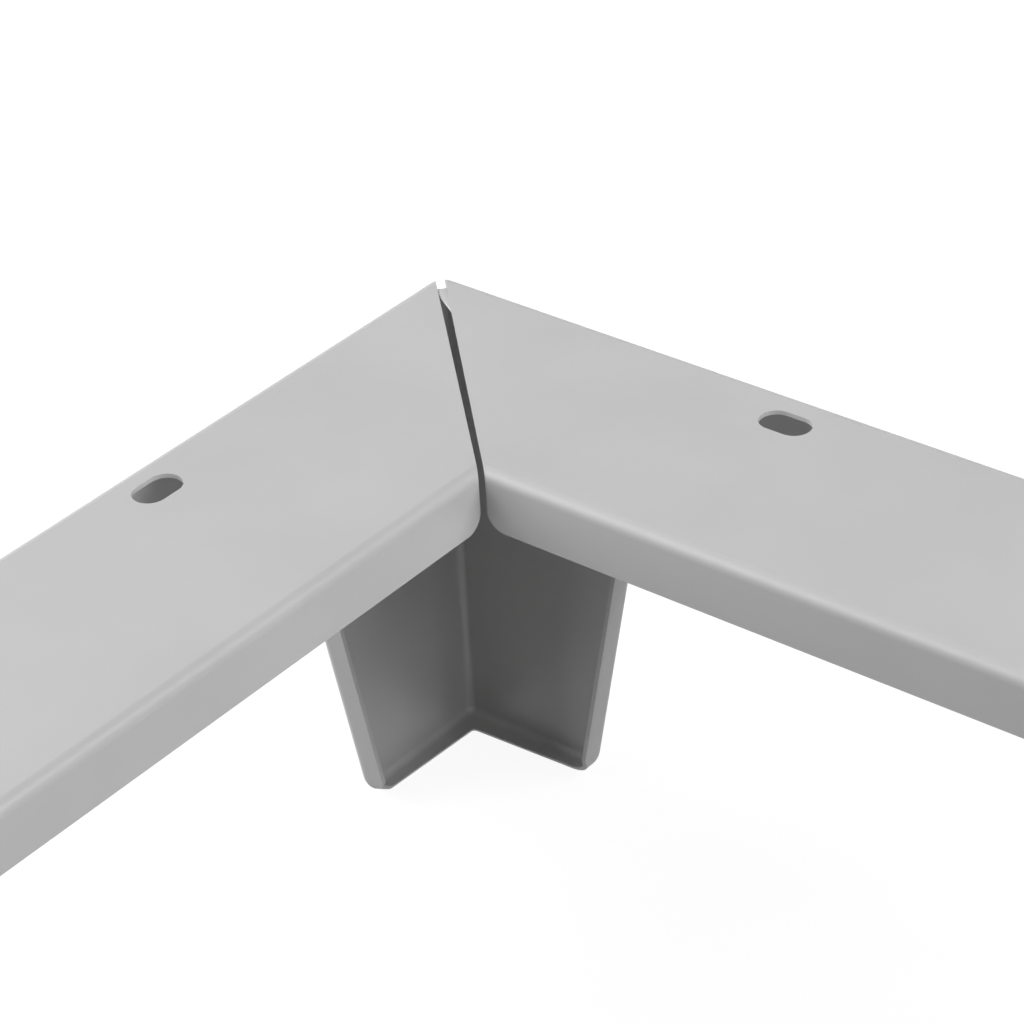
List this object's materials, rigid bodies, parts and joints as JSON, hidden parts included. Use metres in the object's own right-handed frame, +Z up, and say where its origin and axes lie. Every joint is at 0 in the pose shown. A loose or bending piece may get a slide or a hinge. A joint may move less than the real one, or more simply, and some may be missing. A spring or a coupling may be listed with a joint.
{
  "type": "wardrobe plinth base",
  "caption": "Low rectangular sheet-metal base frame with mitred top flanges, slotted bolt holes and tapered pressed corner legs, to stand a steel wardrobe or locker on.",
  "frame": {"origin": "on the floor, under the middle of the frame", "axes": "+X along the long rails, to the right seen from the front; +Y towards the back; +Z up"},
  "size_m": [0.6, 0.49, 0.14],
  "materials": {
    "powder_coated_steel": "light grey powder coat, satin, on sheet steel"
  },
  "bodies": {
    "root": {"frame": "powder_coated_steel", "rear_left_leg": "powder_coated_steel", "rear_right_leg": "powder_coated_steel", "front_left_leg": "powder_coated_steel", "front_right_leg": "powder_coated_steel"}
  },
  "joints": []
}
